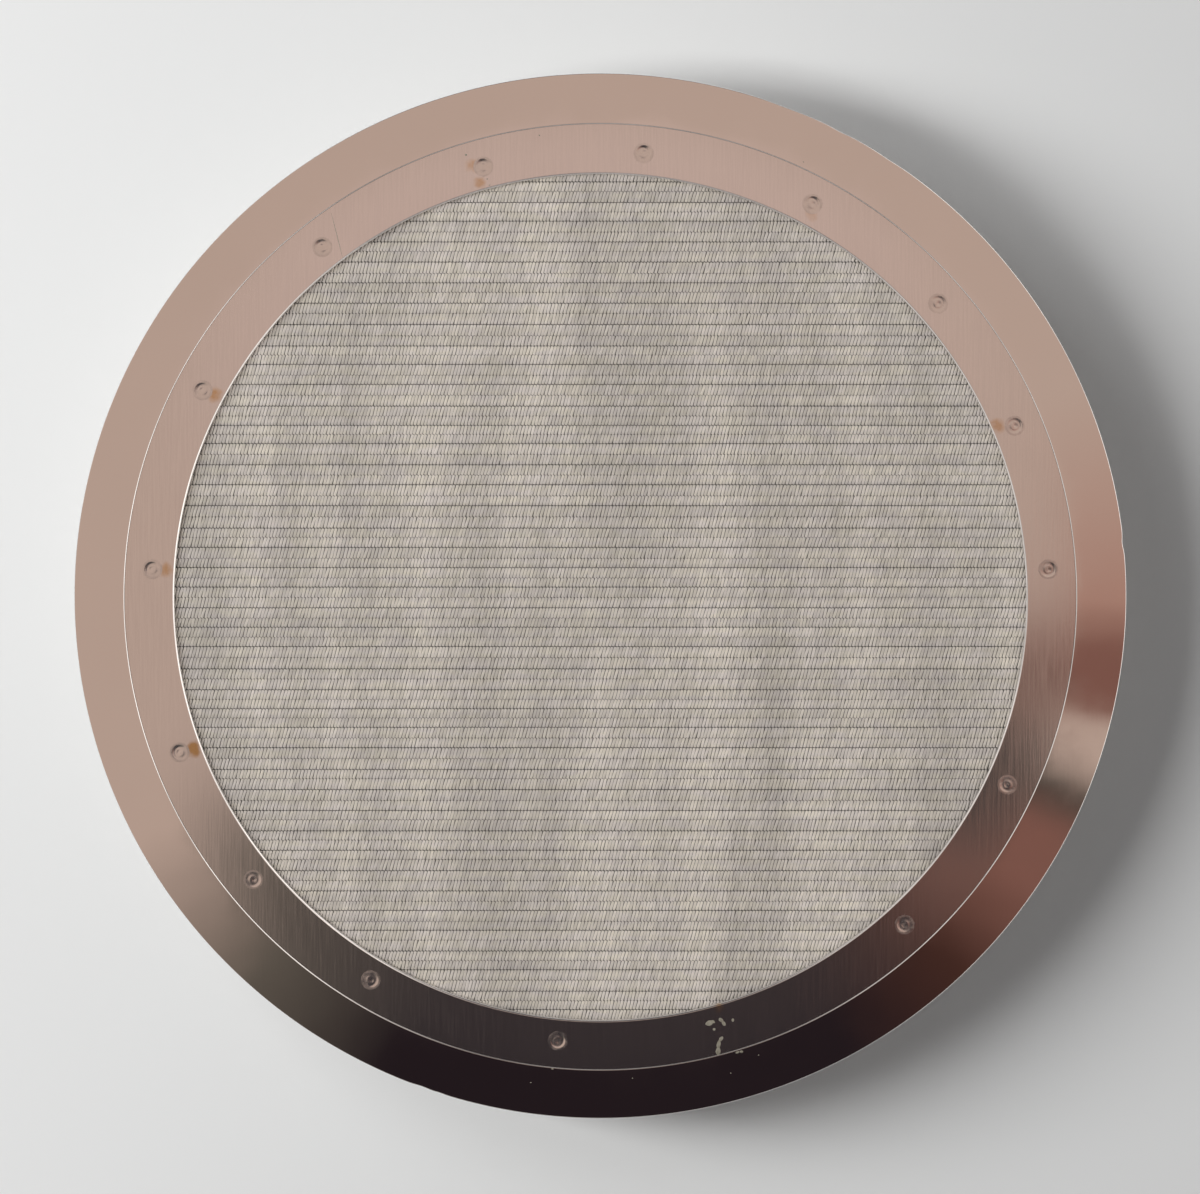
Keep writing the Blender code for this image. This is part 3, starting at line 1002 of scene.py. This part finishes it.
def build_floor(material):
    """Round table top, far wider than the picture."""
    bm = bmesh.new()
    bmesh.ops.create_circle(bm, cap_ends=True, segments=FLOOR_SIDES, radius=FLOOR_RADIUS)
    mesh = bpy.data.meshes.new("floor")
    bm.to_mesh(mesh)
    bm.free()
    mesh.materials.append(material)
    floor = bpy.data.objects.new("floor", mesh)
    floor.location.z = SKIRT_LOW.z - FLOOR_GAP
    bpy.context.scene.collection.objects.link(floor)


def build_softboxes():
    """Two area lights from the left that mirrors don't show."""
    for name, bearing, elevation, distance, width, height, power in SOFTBOXES:
        data = bpy.data.lights.new(name, "AREA")
        data.shape = "RECTANGLE"
        data.size = width
        data.size_y = height
        data.energy = power
        data.color = LIGHT_COLOUR
        box = bpy.data.objects.new(name, data)
        turn, rise = math.radians(bearing), math.radians(elevation)
        away = Vector((math.cos(turn) * math.cos(rise), math.sin(turn) * math.cos(rise), math.sin(rise)))
        box.location = away * distance
        box.rotation_euler = away.to_track_quat("Z", "Y").to_euler()
        box.visible_camera = False
        box.visible_glossy = False
        bpy.context.scene.collection.objects.link(box)


def build_camera():
    """Long lens, a little towards +Y from straight above the object."""
    data = bpy.data.cameras.new("camera")
    data.lens = CAMERA_LENS
    data.clip_start, data.clip_end = CAMERA_CLIP
    camera = bpy.data.objects.new("camera", data)
    away = Vector((0, math.sin(CAMERA_TILT), math.cos(CAMERA_TILT)))
    camera.location = AIM + away * CAMERA_DISTANCE
    camera.rotation_euler = (-CAMERA_TILT, 0, 0)
    bpy.context.scene.collection.objects.link(camera)
    bpy.context.scene.camera = camera


def build():
    bpy.context.scene.view_settings.view_transform = "Standard"
    build_camera()
    build_world()
    build_floor(pale_floor())
    build_softboxes()
    build_rim(polished_steel())
    ring_steel = brushed_steel()
    build_ring(ring_steel)
    build_skirt(satin_steel())
    build_plate(plate_steel())
    build_welds(fused_steel(), ring_steel)
    build_spatter(residue())
    # The second wire material is the same wire darkened, as painted shade for the wires under the face
    build_cloth(woven_wire("woven_wire", FACE_WIRE), woven_wire("painted_shade_wire", DEEP_WIRE))


build()
